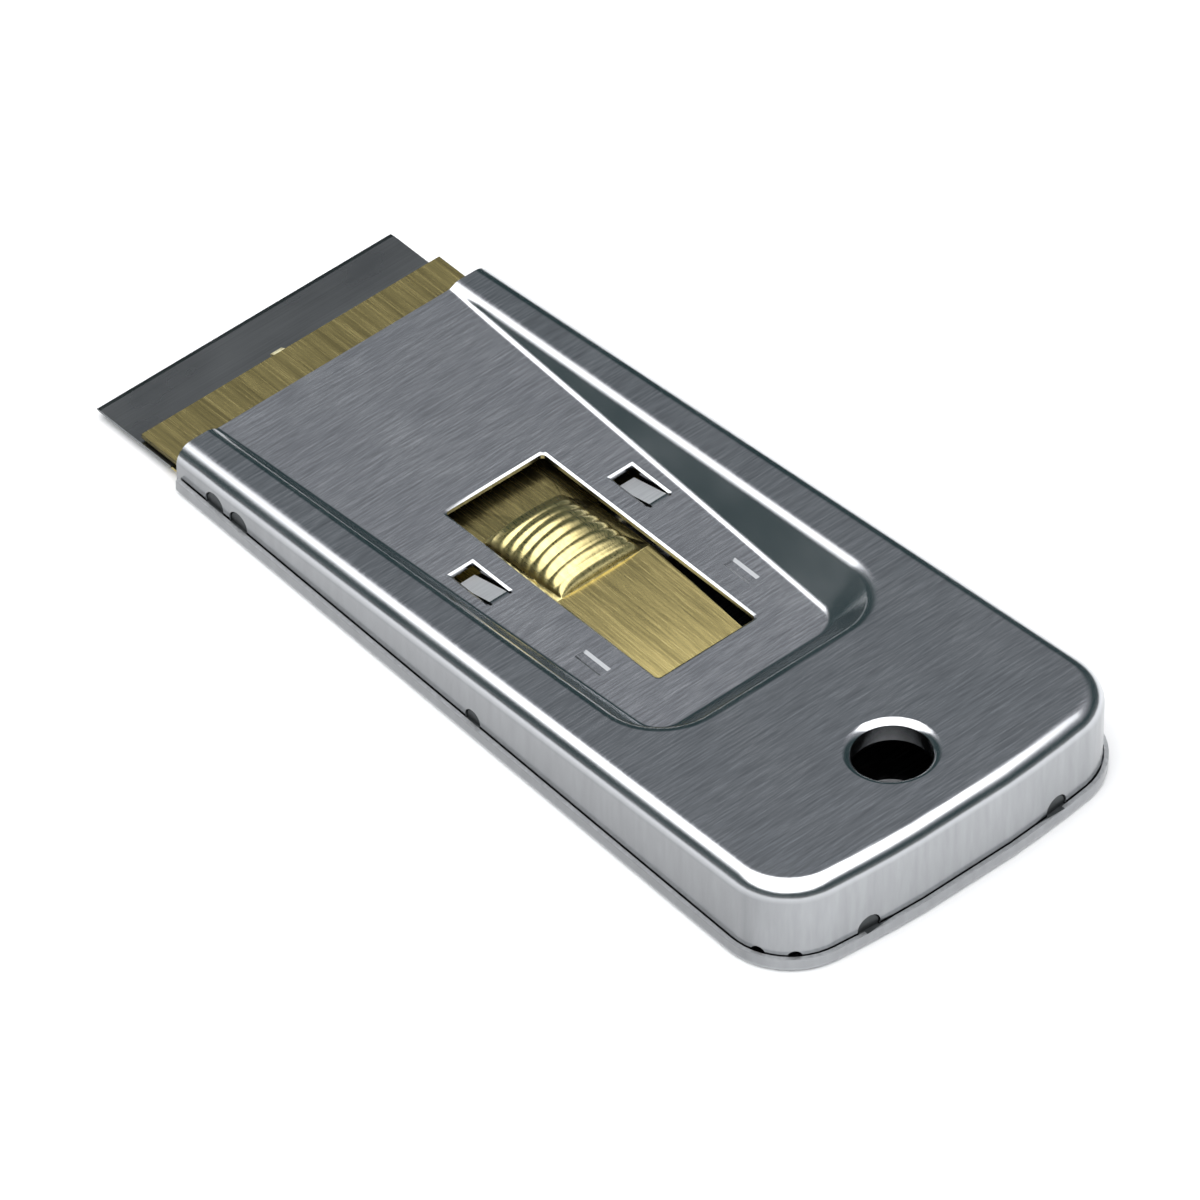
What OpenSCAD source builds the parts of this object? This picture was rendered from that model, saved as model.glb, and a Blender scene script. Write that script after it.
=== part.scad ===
// Retractable razor blade scraper: a pressed steel casing in two shells, with a brass slide
// that carries a single-edge blade in and out of the casing's mouth.
// Millimetres. +X points out of the mouth, +Y to the left, +Z up from the flat underside.

/* [Casing] */
// length of the upper shell, from the mouth to its rear wall
body_l = 91.2; // [86:0.1:110]
// room between the blade's ends and the upper shell's sides at the mouth
mouth_gap = 0.65; // [0.55:0.05:2]
// how much wider than the mouth the sides are when carried on to the rear wall
rear_flare = 4.9; // [2:0.1:8]
// radius of the bowed rear wall in plan
rear_bow_r = 140; // [80:5:300]
// radius of the rear corners in plan
corner_r = 7.2; // [4:0.1:10]
// height of the border at the mouth
mouth_h = 5.15; // [5:0.05:7]
// height of the border, carried on to the rear wall
rear_h = 10.55; // [9:0.05:14]
// radius of the pressed shoulder between border and sides
shoulder_r = 2.0; // [1.2:0.1:2.6]
// thickness of the upper shell's sheet
sheet_t = 0.6; // [0.4:0.05:0.8]

/* [Recessed panel] */
// height of the sunk panel
panel_h = 4.65; // [4.5:0.05:4.9]
// width between the crests of the recess
recess_w = 32.8; // [30:0.1:34]
// distance from the mouth to the rear crest of the recess
recess_l = 65.5; // [63:0.1:70]
// radius of the crest at the rear corners
recess_r = 7.5; // [6.5:0.1:9]
// radius of the bend at the recess's crest
crest_r = 1.7; // [1.2:0.1:2.2]
// radius of the bend at the recess's foot
foot_r = 1.0; // [0.6:0.1:1.4]
// steepest slope of the recess's wall
wall_a = 47; // [42:1:52]

/* [Thumb slot] */
// distance from the mouth to the slot's front end
slot_front = 23.6; // [20:0.1:26]
// length of the slot
slot_l = 30.9; // [29:0.1:33]
// width of the slot
slot_w = 12.7; // [12:0.1:15]
// radius of the slot's corners
slot_r = 0.5; // [0.2:0.1:1.5]
// width of the edge that the punch rolls over around a cut
edge_run = 0.25; // [0.15:0.05:0.5]
// depth of the rolled edge
edge_drop = 0.15; // [0.1:0.05:0.3]

/* [Lock tabs and rests] */
// distance from the mouth to the front of the tab windows
window_front = 30.6; // [30:0.1:34]
// length of a tab window
window_l = 5.3; // [4:0.1:6]
// width of a tab window
window_w = 2.8; // [2:0.1:3.4]
// distance of the window's middle from the centre line
window_y = 10.3; // [9:0.1:11]
// slit between a tab and its window, on each side
tab_slit = 0.3; // [0.15:0.05:0.5]
// gap between a tab's tip and the front of its window
tab_tip_gap = 0.5; // [0.3:0.05:1]
// angle by which a tab is bent down
tab_angle = 13.5; // [6:0.5:15]
// length of the relief cut beside a tab's root
relief_l = 0.5; // [0.2:0.1:1]
// distance from the mouth to the front of the coined rests
rest_front = 47; // [44:0.1:50]
// length of a coined rest
rest_l = 3.6; // [2:0.1:5]
// width of a coined rest
rest_w = 1.5; // [1:0.1:2.5]
// distance of a rest's middle from the centre line
rest_y = 9.6; // [8.6:0.1:10.4]
// depth of a coined rest
rest_depth = 0.2; // [0.1:0.05:0.3]

/* [Hanging hole] */
// distance from the mouth to the hole's axis
hole_from_mouth = 80.65; // [78:0.1:90]
// radius of the hole
hole_r = 4.0; // [2.5:0.1:4.5]
// radius of the rolled rim of the upper hole
rim_roll_r = 1.05; // [0.9:0.05:1.6]
// straight length of the upper hole's collar
upper_collar_h = 1.3; // [0.5:0.1:3]
// radius of the rolled rim of the lower hole
base_roll_r = 0.9; // [0.7:0.05:1.2]
// height of the lower hole's collar above the underside
lower_collar_h = 2.2; // [1.4:0.1:4]

/* [Lower shell] */
// thickness of the lower shell's sheet
plate_t = 0.5; // [0.4:0.05:0.8]
// height of the lip that wraps the upper shell
lip_h = 1.7; // [1.3:0.1:2.4]
// thickness of the lip, which the draw thins
lip_t = 0.43; // [0.35:0.01:0.5]
// outer radius of the bend under the lip
lip_bend_r = 0.6; // [0.4:0.05:1]
// distance by which the lower shell stops short of the mouth
lower_setback = 0.5; // [0:0.1:2]
// gap in the seam between lip and upper shell
seam_gap = 0.12; // [0.05:0.01:0.15]

/* [Crimps] */
// distance from the mouth to the first side crimp
crimp_front = 5.8; // [4:0.1:9]
// distance between the first two side crimps
crimp_pitch = 3.65; // [3.4:0.05:6]
// distance from the mouth to the single side crimp
crimp_mid = 44.9; // [30:0.1:60]
// distance of the rear crimps from the centre line
crimp_rear = 12.1; // [6:0.1:13]
// radius of a crimp's punch
crimp_r = 0.95; // [0.7:0.05:1.1]
// radius of the punch for the single side crimp
crimp_mid_r = 0.7; // [0.5:0.05:1]
// height of the crimps' middle
crimp_z = 1.95; // [1.9:0.05:2.1]
// depth of a crimp
crimp_depth = 0.65; // [0.55:0.05:0.75]
// how far a crimp's leaf lies below the skirt's face
crimp_set = 0.15; // [0.05:0.05:0.25]
// narrowing of the punch for each millimetre of depth
crimp_taper = 0.35; // [0.2:0.05:0.5]
// radius of the ripples that the corner draw leaves in the skirt's edge
ripple_r = 0.75; // [0.4:0.05:1]

/* [Razor blade] */
// width of the blade, along its edge
blade_w = 38.1; // [36:0.1:38.3]
// depth of the blade, from its edge to the back of its spine
blade_l = 19; // [18:0.1:22.2]
// thickness of the blade
blade_t = 0.25; // [0.2:0.01:0.3]
// distance from the mouth to the blade's edge
blade_reach = 12.9; // [10:0.1:14]
// side play taken up to the left
blade_shift = 0.5; // [0:0.05:0.55]
// length of the ground bevel
bevel_l = 0.5; // [0.3:0.1:1.6]
// thickness left at the edge
edge_t = 0.04; // [0.02:0.01:0.08]
// depth of the notch in each end of the blade
notch_d = 2.0; // [1.8:0.1:3]
// length of the notch
notch_l = 2.4; // [2:0.1:3]
// distance from the spine to the notch
notch_gap = 0.5; // [0.3:0.1:0.8]
// depth of the folded spine
spine_l = 5; // [4:0.1:6]
// thickness over the folded spine
spine_t = 0.9; // [0.8:0.05:1]
// gap between the spine and the lower shell
spine_lift = 0.1; // [0.05:0.01:0.15]

/* [Brass slide] */
// thickness of the brass sheet
brass_t = 0.5; // [0.4:0.05:0.55]
// gap between the head and the spine
head_gap = 0.03; // [0.02:0.01:0.1]
// how far the slide's head stands out past each end of the blade
head_over = 0.25; // [0.05:0.05:0.35]
// distance from the mouth to the head's front edge
head_reach = 6.45; // [5:0.05:8]
// length of the head
head_l = 13.4; // [13:0.1:16]
// width of the neck, over the shoulders that the lock tabs catch
neck_w = 25.2; // [20:0.1:26]
// gap between the shoulders' upper face and the lock tabs' tips above it
catch_gap = 0.2; // [0.1:0.05:0.4]
// distance of the shoulders in front of the tabs' tips
catch_play = 0.4; // [0.2:0.05:1]
// width of the strip behind its shoulders
strip_w = 13.6; // [13:0.1:14.4]
// width of the strip at the bend of the tail
tail_w = 10.8; // [10:0.1:12]
// height of the strip behind the hump
strip_h = 3.5; // [3.2:0.05:3.6]
// height of the strip at the rear end of the slot
tail_h = 3.0; // [2.6:0.05:3.4]
// distance from the mouth to the bend of the tail
tail_bend = 55.4; // [55:0.1:57]
// length of the sloping tail behind its bend
tail_drop_l = 3.2; // [2.6:0.1:3.6]
// length of the tail's foot
tail_foot_l = 1.4; // [0.8:0.1:1.6]
// gap under the tail's foot
foot_gap = 0.08; // [0.05:0.01:0.2]
// width of a hooked ear
ear_w = 1.55; // [1:0.05:1.6]
// thickness of an ear's leg, along X
ear_leg = 1.1; // [0.8:0.1:1.4]
// reach of an ear's hook under the blade
ear_hook = 2.2; // [1.8:0.1:3]
// gap around an ear in the blade's notch and under the blade
ear_gap = 0.08; // [0.05:0.01:0.1]
// thickness of an ear's hook
ear_hook_t = 0.26; // [0.2:0.02:0.28]
// width of the nib on the head's front edge
nib_w = 1.4; // [1:0.1:2.4]
// length of the nib
nib_l = 0.6; // [0.3:0.1:1]
// distance of the nib from the centre line
nib_y = 1.5; // [0:0.1:4]

/* [Thumb hump] */
// distance from the mouth to the front of the hump
hump_front = 27.7; // [26:0.1:29]
// length of the hump
hump_l = 11.6; // [11:0.1:12]
// width of the hump
hump_w = 10.4; // [9.6:0.1:10.8]
// height of the hump's sides above the strip
hump_h = 1.3; // [1:0.05:1.6]
// rise of the hump's crown above its sides
crown_h = 1.8; // [1.2:0.05:2.2]
// thickness of the stretched sheet in the hump
hump_t = 0.32; // [0.25:0.01:0.38]
// depth by which the hump's rim is set in the strip
hump_set = 0.09; // [0.05:0.01:0.12]
// width of the rim that the strip keeps under the hump
hump_rim = 0.45; // [0.3:0.05:0.6]
// number of ribs
rib_n = 7; // [6:1:10]
// height of a rib
rib_h = 0.24; // [0.1:0.02:0.4]
// length of the hump's front roll
front_roll = 1.5; // [1:0.1:2]
// length of the hump's rear roll
rear_roll = 1.1; // [0.8:0.1:1.6]

/* [Hidden] */
$fn = 64;
STEEL = [0.66, 0.68, 0.70];
DARK_STEEL = [0.40, 0.42, 0.44];
BRASS = [0.78, 0.69, 0.40];
// share of room left past a face that a cut goes through
past = 1;
// steps in a rear corner, in each end of the rear wall and in the shoulder
corner_n = 12;
bow_n = 3;
shoulder_n = 8;
// samples along one rib, along a roll and across half the hump
rib_steps = 6;
roll_steps = 6;
across_n = 11;
// steps in the recess's two bends
crest_n = 4;
foot_n = 3;

// the places above are given for a casing of this length and a blade of this width,
// and spread with the real ones
usual_l = 91.2;
usual_w = 38.1;
long = body_l / usual_l;
wide = blade_w / usual_w;
recess_end = recess_l * long;
slot_x = slot_front * long;
slot_len = slot_l * long;
window_x = window_front * long;
rest_x = rest_front * long;
crimp_mid_x = crimp_mid * long;
hump_x = hump_front * long;
tail_x = tail_bend * long;
recess_wide = recess_w * wide;
slot_wide = slot_w * wide;
window_at = window_y * wide;
rest_at = rest_y * wide;
crimp_rear_y = crimp_rear * wide;
neck_wide = neck_w * wide;
strip_wide = strip_w * wide;
tail_wide = tail_w * wide;
hump_wide = hump_w * wide;
nib_at = nib_y * wide;
head_w = blade_w + 2 * head_over;
mouth_w = blade_w + 2 * (mouth_gap + sheet_t);
rear_w = mouth_w + rear_flare;

// the casing's plan: tapered sides, a bowed rear wall with a flat middle behind the hanging hole,
// and a corner arc that touches both
taper = (rear_w - mouth_w) / 2 / body_l;
taper_s = sqrt(1 + taper * taper);
taper_a = atan(taper);
mid_half = hole_r + rim_roll_r + sheet_t;
mid_a = 180 - asin(mid_half / rear_bow_r);
bow_x = -rear_bow_r * cos(mid_a) - body_l;
corner_m = mouth_w / 2 - corner_r * taper_s - taper * bow_x;
corner_span = pow(rear_bow_r - corner_r, 2);
corner_u = (corner_m * taper - sqrt(pow(corner_m * taper, 2)
    - taper_s * taper_s * (corner_m * corner_m - corner_span))) / (taper_s * taper_s);
corner_x = corner_u + bow_x;
corner_y = corner_m - taper * corner_u;
side_a = 90 - taper_a;
rear_a = atan2(corner_y, corner_u);

// the upper shell's border slopes up from the mouth
border_slope = (rear_h - mouth_h) / body_l;
border_a = atan(border_slope);
function border_z(x) = mouth_h - border_slope * x;
function recess_depth(x) = border_z(x) - panel_h;

// the lip lies outside the skirt by its own thickness and the seam
lip_out = lip_t + seam_gap;
// the middle of the whole length is the origin
mouth_x = (body_l + lip_out - blade_reach) / 2;
hole_x = -hole_from_mouth * long;

// levels of the blade and of the slide's head
spine_z = plate_t + spine_lift + spine_t / 2;
head_under = spine_z + spine_t / 2 + head_gap;
head_top = head_under + brass_t;
spine_back = blade_reach - blade_l;
spine_front = spine_back + spine_l;
notch_x = spine_front + notch_gap;
head_back = head_reach - head_l;
hump_back = -hump_x - hump_l;
tab_l = window_l - tab_tip_gap;
tab_tip_x = -window_x - window_l + tab_l * cos(tab_angle);
tab_tip_z = panel_h - tab_l * sin(tab_angle) - sheet_t * cos(tab_angle);
neck_x = tab_tip_x + catch_play;
neck_h = tab_tip_z - catch_gap;
function strip_z(x) = x > neck_x ? neck_h + (x - neck_x) * (head_top - neck_h) / (head_back - neck_x)
    : neck_h + (x - neck_x) * (strip_h - neck_h) / (hump_back - neck_x);
foot_top = plate_t + foot_gap + brass_t;

function mirrored(pts) = [for (i = [len(pts) - 1:-1:0]) [pts[i].x, -pts[i].y, pts[i].z]];

// half of the casing's plan, inset by d, from the mouth to the rear wall's flat middle
function half_plan(d, along) = concat(
    [for (x = along) [x, mouth_w / 2 - d * taper_s - taper * x]],
    [for (i = [0:corner_n]) let (a = side_a + (rear_a - side_a) * i / corner_n)
        [corner_x + (corner_r - d) * cos(a), corner_y + (corner_r - d) * sin(a)]],
    [for (i = [1:bow_n]) let (a = rear_a + (mid_a - rear_a) * i / bow_n)
        [bow_x + (rear_bow_r - d) * cos(a), (rear_bow_r - d) * sin(a)]]);

// the recess's wall at a depth d below the border: its slope, its run and one step down it,
// as the distance in from the crest and the drop below the crest
bend_r = crest_r + foot_r;
function wall_slope(d) = min(wall_a, acos(max(0, 1 - d / bend_r)));
function wall_run(d) = let (q = wall_slope(d))
    bend_r * sin(q) + max(0, d - bend_r * (1 - cos(q))) / tan(q);
wall_steps = concat([for (i = [0:crest_n]) [1, i / crest_n]], [for (i = [foot_n:-1:0]) [0, i / foot_n]]);
function wall_at(d, step, depth) = let (q = wall_slope(d) * step[1]) step[0] == 1
    ? (crest_r - depth) * [sin(q), 1 - cos(q)]
    : [wall_run(d), d] - (foot_r + depth) * [sin(q), 1 - cos(q)];

// half of the recess at one step down its wall, from the mouth to the rear; the wall starts shallow,
// so the side has a few more places near the mouth
side_at = [0, -0.03 * recess_end, -0.06 * recess_end, -0.1 * recess_end];
function half_recess(step, depth) = let (c = -recess_end + recess_r, h = recess_wide / 2 - recess_r) concat(
    [for (x = side_at) let (w = wall_at(recess_depth(x), step, depth))
        [x, recess_wide / 2 - w[0], border_z(x) - depth - w[1]]],
    [for (i = [0:corner_n]) let (a = 90 + 90 * i / corner_n, x = c + recess_r * cos(a),
        w = wall_at(recess_depth(x), step, depth), r = recess_r - w[0])
        [c + r * cos(a), h + r * sin(a), border_z(x) - depth - w[1]]],
    [for (i = [1:bow_n]) let (x = -recess_end, w = wall_at(recess_depth(x), step, depth))
        [x + w[0], h + (mid_half - h) * i / bow_n, border_z(x) - depth - w[1]]]);

// one skin of the upper shell, as rows from the skirt's edge over the shoulder to the panel
function skin(depth) = let (r = shoulder_r - depth) concat(
    [row([for (p = half_plan(depth, side_at)) [p.x, p.y, plate_t]])],
    [for (i = [0:shoulder_n]) let (a = 90 * i / shoulder_n)
        row([for (p = half_plan(depth + r * (1 - cos(a)), side_at))
            [p.x, p.y, border_z(p.x) - depth - r * (1 - sin(a))]])],
    [for (step = wall_steps) row(half_recess(step, depth))]);
function row(half) = concat(half, mirrored(half));
function joined(rows) = [for (r = rows) each r];

// a bent sheet: two skins of equal grids, closed along the skirt and the mouth; the panel's sides
// are hollow near the mouth, so its front is laid in strips from side to side
module sheet_between(top, under) {
    k = len(side_at);
    m = len(top) - 1;
    n = len(top[0]) - 1;
    w = n + 1;
    b = (m + 1) * w;
    polyhedron(points = concat(joined(top), joined(under)), convexity = 8, faces = concat(
        [for (i = [0:m - 1], j = [0:n - 1])
            [i * w + j, (i + 1) * w + j, (i + 1) * w + j + 1, i * w + j + 1]],
        [for (i = [0:m - 1], j = [0:n - 1])
            [b + i * w + j, b + i * w + j + 1, b + (i + 1) * w + j + 1, b + (i + 1) * w + j]],
        [for (j = [0:n - 1]) [j, j + 1, b + j + 1, b + j]],
        [for (i = [0:m - 1]) [i * w, b + i * w, b + (i + 1) * w, (i + 1) * w]],
        [for (i = [0:m - 1])
            [i * w + n, (i + 1) * w + n, b + (i + 1) * w + n, b + i * w + n]],
        [for (j = [0:k - 1]) let (p = m * w) [p + n - j, p + n - j - 1, p + j + 1, p + j]],
        [for (j = [0:k - 1]) let (p = b + m * w) [p + j, p + j + 1, p + n - j - 1, p + n - j]],
        [[for (j = [n - k:-1:k]) m * w + j], [for (j = [k:n - k]) b + m * w + j],
         [m * w + n, m * w, b + m * w, b + m * w + n]]));
}

// a tray: one wrapped skin from its underside, over the lip, to its floor, with its open front's edge
// in three parts, a fan for each lip and one for the floor
module tray_of(rows) {
    m = len(rows) - 1;
    n = len(rows[0]) - 1;
    w = n + 1;
    polyhedron(points = joined(rows), convexity = 6, faces = concat(
        [for (i = [0:m - 1], j = [0:n - 1])
            [i * w + j, (i + 1) * w + j, (i + 1) * w + j + 1, i * w + j + 1]],
        [for (i = [0:m - 2]) [i * w + n, (i + 1) * w + n, m * w + n]],
        [for (i = [0:m - 2]) [m * w, (i + 1) * w, i * w]],
        [[n, m * w + n, m * w, 0], [for (j = [n:-1:0]) m * w + j], [for (j = [0:n]) j]]));
}

// places for the crimps: local +Y points out of the lip's face
module on_side(along) {
    for (s = [1, -1])
        translate([-along, s * (mouth_w / 2 + taper * along + lip_out * taper_s), 0])
            rotate([0, 0, s * side_a - 90]) children();
}
module on_rear(across) {
    a = 180 - asin(across / (rear_bow_r + lip_out));
    for (s = [1, -1])
        translate([bow_x + (rear_bow_r + lip_out) * cos(a), s * (rear_bow_r + lip_out) * sin(a), 0])
            rotate([0, 0, s * a - 90]) children();
}
module on_crimps(big = true) {
    if (big) {
        for (i = [0, 1]) on_side(crimp_front + i * crimp_pitch) children();
        on_rear(crimp_rear_y) children();
    } else on_side(crimp_mid_x) children();
}
// a punch that is driven in from the lip's face
module crimp_punch(r, depth) {
    out = plate_t;
    translate([0, out, crimp_z]) rotate([90, 0, 0])
        cylinder(r1 = r + out * crimp_taper, r2 = r - depth * crimp_taper, h = depth + out, $fn = 48);
}

// the leaf that a punch pushes out of the lip's back into the skirt's notch
module crimp_boss(r) {
    w = 2 * r + 4 * plate_t;
    difference() {
        crimp_punch(r + plate_t, crimp_depth + plate_t);
        translate([-w / 2, -lip_out - crimp_set, lip_h - seam_gap]) cube([w, 2 * lip_out, w]);
        translate([-w / 2, -plate_t / 2, -past]) cube([w, 2 * lip_out, 2 * w]);
    }
}
module crimp_notch(r) {
    crimp_punch(r + plate_t + seam_gap, lip_out + sheet_t + seam_gap);
}

// outline of a rolled and turned-in hole rim, against the radius axis
module rim_profile(r, roll, t, h) {
    intersection() {
        difference() {
            translate([r + roll, -roll]) circle(roll);
            translate([r + roll, -roll]) circle(roll - t);
        }
        translate([r, -roll]) square([roll, roll]);
    }
    translate([r, -roll - h]) square([t, h + t / 100]);
    translate([r + roll - t / 100, -t * 0.8]) square([t, t * 0.6]);
}

module upper_shell() {
    ring_r = hole_r - (rim_roll_r + upper_collar_h) * tan(border_a) - sheet_t / 12;
    color(STEEL) translate([mouth_x, 0, 0]) difference() {
        union() {
            difference() {
                sheet_between(skin(0), skin(sheet_t));
                slot_cut();
                for (s = [0, 1]) mirror([0, s, 0]) {
                    window_cut();
                    rest_cut();
                }
                translate([hole_x, 0, border_z(hole_x)]) rotate([0, border_a, 0])
                    cylinder(r = ring_r + rim_roll_r - 0.1 * sheet_t, h = 4 * shoulder_r, center = true);
                on_crimps(true) crimp_notch(crimp_r);
                on_crimps(false) crimp_notch(crimp_mid_r);
                corner_ripples();
            }
            translate([hole_x, 0, border_z(hole_x)]) rotate([0, border_a, 0])
                rotate_extrude($fn = 96) rim_profile(ring_r, rim_roll_r, sheet_t, upper_collar_h);
            for (s = [0, 1]) mirror([0, s, 0]) {
                lock_tab();
                rest_boss();
            }
        }
        translate([hole_x, 0, -past]) cylinder(r = hole_r, h = rear_h + 2 * past, $fn = 96);
    }
}

// a punched cut through the panel, with its upper edge rolled over
module punched(l, w) {
    translate([0, 0, -sheet_t - past]) linear_extrude(sheet_t + 2 * past) children();
    translate([0, 0, -edge_drop])
        linear_extrude(2 * edge_drop, slices = 1, scale = [1 + 4 * edge_run / l, 1 + 4 * edge_run / w])
            children();
}

// the thumb slot, with its four rounded corners
module slot_cut() {
    l = slot_len / 2 - slot_r;
    w = slot_wide / 2 - slot_r;
    translate([-slot_x - slot_len / 2, 0, panel_h]) punched(slot_len, slot_wide) {
        square([slot_len, 2 * w], center = true);
        square([2 * l, slot_wide], center = true);
        for (x = [-l, l], y = [-w, w]) translate([x, y]) circle(slot_r, $fn = 32);
    }
}

// the window that a lock tab is lanced from, with relief cuts beside the tab's root
module window_cut() {
    translate([-window_x - window_l / 2, window_at, panel_h]) {
        punched(window_l, window_w) square([window_l, window_w], center = true);
        for (s = [1, -1])
            translate([-window_l / 2 - relief_l, s * (window_w - tab_slit) / 2, -sheet_t - past])
                translate([0, -tab_slit / 2, 0]) cube([relief_l + past / 10, tab_slit, sheet_t + 2 * past]);
    }
}

// a lock tab, bent down from the rear of its window towards the mouth
module lock_tab() {
    tip = tab_l * [cos(tab_angle), -sin(tab_angle)];
    translate([-window_x - window_l, window_at + window_w / 2 - tab_slit, panel_h])
        rotate([90, 0, 0]) linear_extrude(window_w - 2 * tab_slit) polygon([
            [-sheet_t, 0], [0, 0], tip, tip - sheet_t * [sin(tab_angle), cos(tab_angle)],
            [0, -sheet_t], [-sheet_t, -sheet_t]]);
}

// a coined rest: a shallow dent with sloping sides in the panel, and the boss that it leaves below
module rest_cut() {
    w = rest_w / 2;
    foot = w - 1.7 * rest_depth;
    translate([-rest_x - rest_l, rest_at, panel_h]) rotate([90, 0, 90]) linear_extrude(rest_l)
        polygon([[-w, past], [-w, 0], [-foot, -rest_depth], [foot, -rest_depth], [w, 0], [w, past]]);
}
module rest_boss() {
    translate([-rest_x - rest_l, rest_at - rest_w / 2, panel_h - sheet_t - rest_depth])
        cube([rest_l, rest_w, sheet_t]);
}

// ripples in the skirt's edge, two in each rear corner
module corner_ripples() {
    for (s = [1, -1], share = [0.29, 0.63])
        translate([corner_x, s * corner_y, lip_h - ripple_r / 5])
            rotate([0, 90, s * (side_a + (rear_a - side_a) * share)])
                cylinder(r = ripple_r, h = corner_r + past, $fn = 32);
}

module lower_shell() {
    front = [-lower_setback];
    bend_n = 4;
    rows = concat(
        [for (i = [0:bend_n]) let (a = 90 * i / bend_n)
            row([for (p = half_plan(lip_bend_r * (1 - sin(a)) - lip_out, front))
                [p.x, p.y, lip_bend_r * (1 - cos(a))]])],
        [row([for (p = half_plan(-lip_out, front)) [p.x, p.y, lip_h]]),
         row([for (p = half_plan(-seam_gap, front)) [p.x, p.y, lip_h]]),
         row([for (p = half_plan(-seam_gap, front)) [p.x, p.y, plate_t]])]);
    color(STEEL) translate([mouth_x, 0, 0]) {
        difference() {
            tray_of(rows);
            translate([hole_x, 0, -past])
                cylinder(r = hole_r + base_roll_r - 0.1 * plate_t, h = plate_t + 2 * past, $fn = 96);
        }
        on_crimps(true) crimp_boss(crimp_r);
        on_crimps(false) crimp_boss(crimp_mid_r);
        translate([hole_x, 0, 0]) mirror([0, 0, 1]) rotate_extrude($fn = 96)
            rim_profile(hole_r, base_roll_r, plate_t, lower_collar_h - base_roll_r);
    }
}

// a strip of sheet along a path of its upper face, as an outline in X and Z
function turned(a, b) = let (d = b - a) [d.y, -d.x] / norm(d);
function band(path, t) = let (n = len(path) - 1) concat(path, [for (i = [n:-1:0])
    let (p = turned(path[max(i - 1, 0)], path[max(i, 1)]),
         q = turned(path[min(i, n - 1)], path[min(i + 1, n)]), k = (p + q) / norm(p + q))
    path[i] - k * t / (k * p)]);

slide_path = [[head_reach, head_top], [head_back, head_top], [neck_x, neck_h], [hump_back, strip_h],
    [-tail_x, tail_h], [-tail_x - tail_drop_l, foot_top],
    [-tail_x - tail_drop_l - tail_foot_l, foot_top]];

module blade_slide() {
    tail_end = tail_x + tail_drop_l + tail_foot_l;
    color(BRASS) translate([mouth_x, 0, 0]) {
        difference() {
            intersection() {
                translate([0, head_w / 2, 0]) rotate([90, 0, 0]) linear_extrude(head_w)
                    polygon(band(slide_path, brass_t));
                linear_extrude(rear_h) {
                    translate([head_back, -head_w / 2]) square([head_l, head_w]);
                    translate([neck_x, -neck_wide / 2]) square([head_back - neck_x + past, neck_wide]);
                    strip_plan(neck_x + past, -tail_end - past);
                }
            }
            translate([hump_back + hump_rim, hump_rim - hump_wide / 2, 0])
                cube([hump_l - 2 * hump_rim, hump_wide - 2 * hump_rim, rear_h]);
        }
        thumb_hump();
        for (s = [0, 1]) mirror([0, s, 0]) head_ear();
        head_nib();
    }
}

// the strip's plan, which narrows from the shoulders to the tail
module strip_plan(front, rear) {
    function half(x) = (tail_wide + (strip_wide - tail_wide) * (x + tail_x) / (neck_x + tail_x)) / 2;
    polygon([[front, half(front)], [rear, half(rear)], [rear, -half(rear)], [front, -half(front)]]);
}

// an ear that drops through the blade's notch and hooks under the blade
module head_ear() {
    top = head_under + brass_t / 2;
    hook = spine_z - blade_t / 2 - ear_gap;
    translate([notch_x + ear_gap, head_w / 2, 0]) rotate([90, 0, 0]) linear_extrude(ear_w) polygon([
        [0, top], [ear_leg, top], [ear_leg, hook], [ear_leg + ear_hook, hook],
        [ear_leg + ear_hook, hook - ear_hook_t], [0, hook - ear_hook_t]]);
}

// the nib on the head's front edge, bent down towards the blade
module head_nib() {
    translate([head_reach, nib_at + nib_w / 2, 0]) rotate([90, 0, 0]) linear_extrude(nib_w) polygon([
        [-brass_t, head_top], [0, head_top], [nib_l, head_top - nib_l / 2],
        [nib_l, head_top - nib_l / 2 - brass_t / 2], [-brass_t, head_under]]);
}

// the ribbed hump: a shell of stretched sheet that crowns along and across the strip
rib_span = hump_l - front_roll - rear_roll;
hump_s = concat([for (i = [0:roll_steps - 1]) front_roll * (1 - cos(90 * i / roll_steps))],
    [for (i = [0:rib_n * rib_steps]) front_roll + rib_span * i / (rib_n * rib_steps)],
    [for (i = [1:roll_steps]) hump_l - rear_roll * (1 - sin(90 * i / roll_steps))]);
hump_v = [for (i = [-across_n:across_n]) sin(90 * i / across_n)];
function rolled(q) = q >= 1 ? 1 : sqrt(1 - (1 - q) * (1 - q));
function raised(s, v) = rolled(s / front_roll) * rolled((hump_l - s) / rear_roll)
    * (hump_h * sqrt(1 - pow(abs(v), 6)) + crown_h * sin(180 * pow(s / hump_l, 0.9)) * (1 - v * v));
function rib(s) = s < front_roll || s > front_roll + rib_span ? 1
    : abs(sin(180 * rib_n * (s - front_roll) / rib_span));
function hump_z(s, v) = let (c = raised(s, v))
    strip_z(-hump_x - s) - hump_set + c - rib_h * (1 - rib(s)) * min(1, c / rib_h / 3);
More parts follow.
